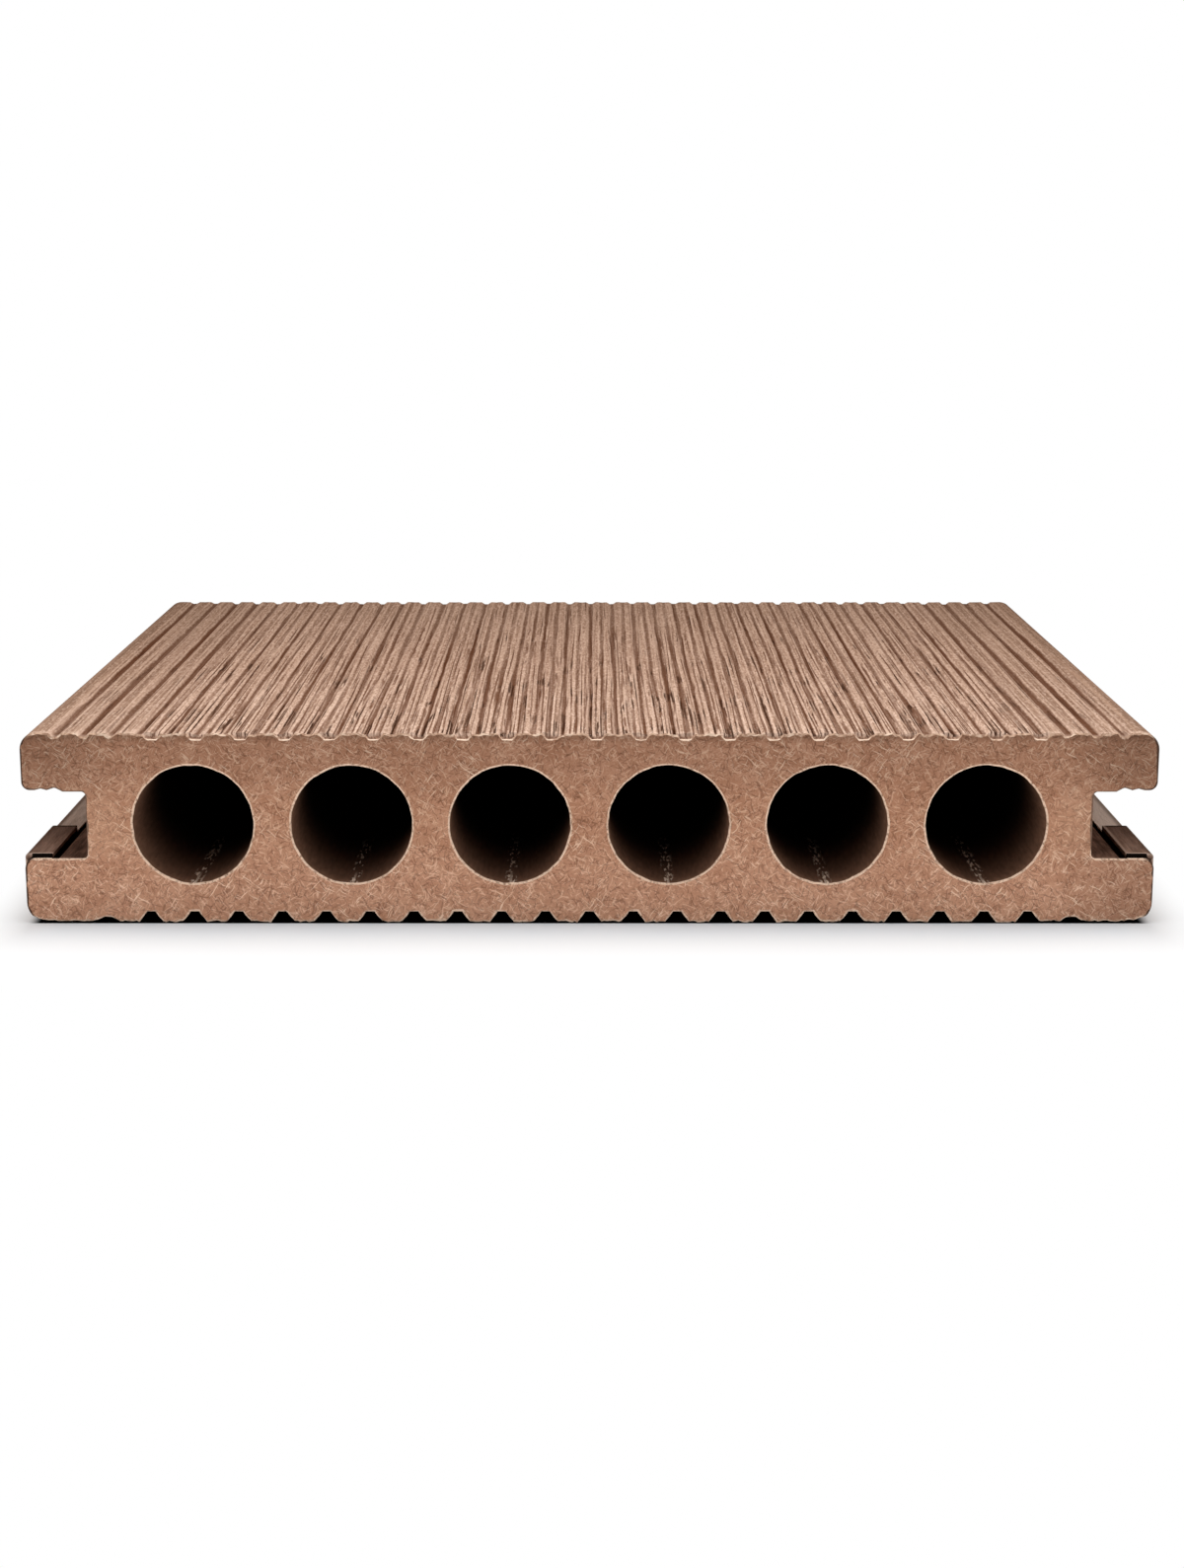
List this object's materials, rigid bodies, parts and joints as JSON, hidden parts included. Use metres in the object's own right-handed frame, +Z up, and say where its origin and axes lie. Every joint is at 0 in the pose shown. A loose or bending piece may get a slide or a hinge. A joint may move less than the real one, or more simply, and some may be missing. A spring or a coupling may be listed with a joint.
{
  "type": "decking board",
  "caption": "Short sample of a hollow extruded wood-plastic decking board with round bores, side clip slots, a finely grooved top and a grooved underside.",
  "frame": {"origin": "middle of the underside, on the plane that the board lies on", "axes": "+X across the board, +Y along the extrusion away from the near cut end, +Z up out of the grooved top"},
  "size_m": [0.15, 0.12, 0.0259],
  "materials": {
    "wood_composite": "matte brown wood-plastic composite, brushed on top and sawn at the ends"
  },
  "bodies": {
    "root": {"decking_board": "wood_composite"}
  },
  "joints": []
}
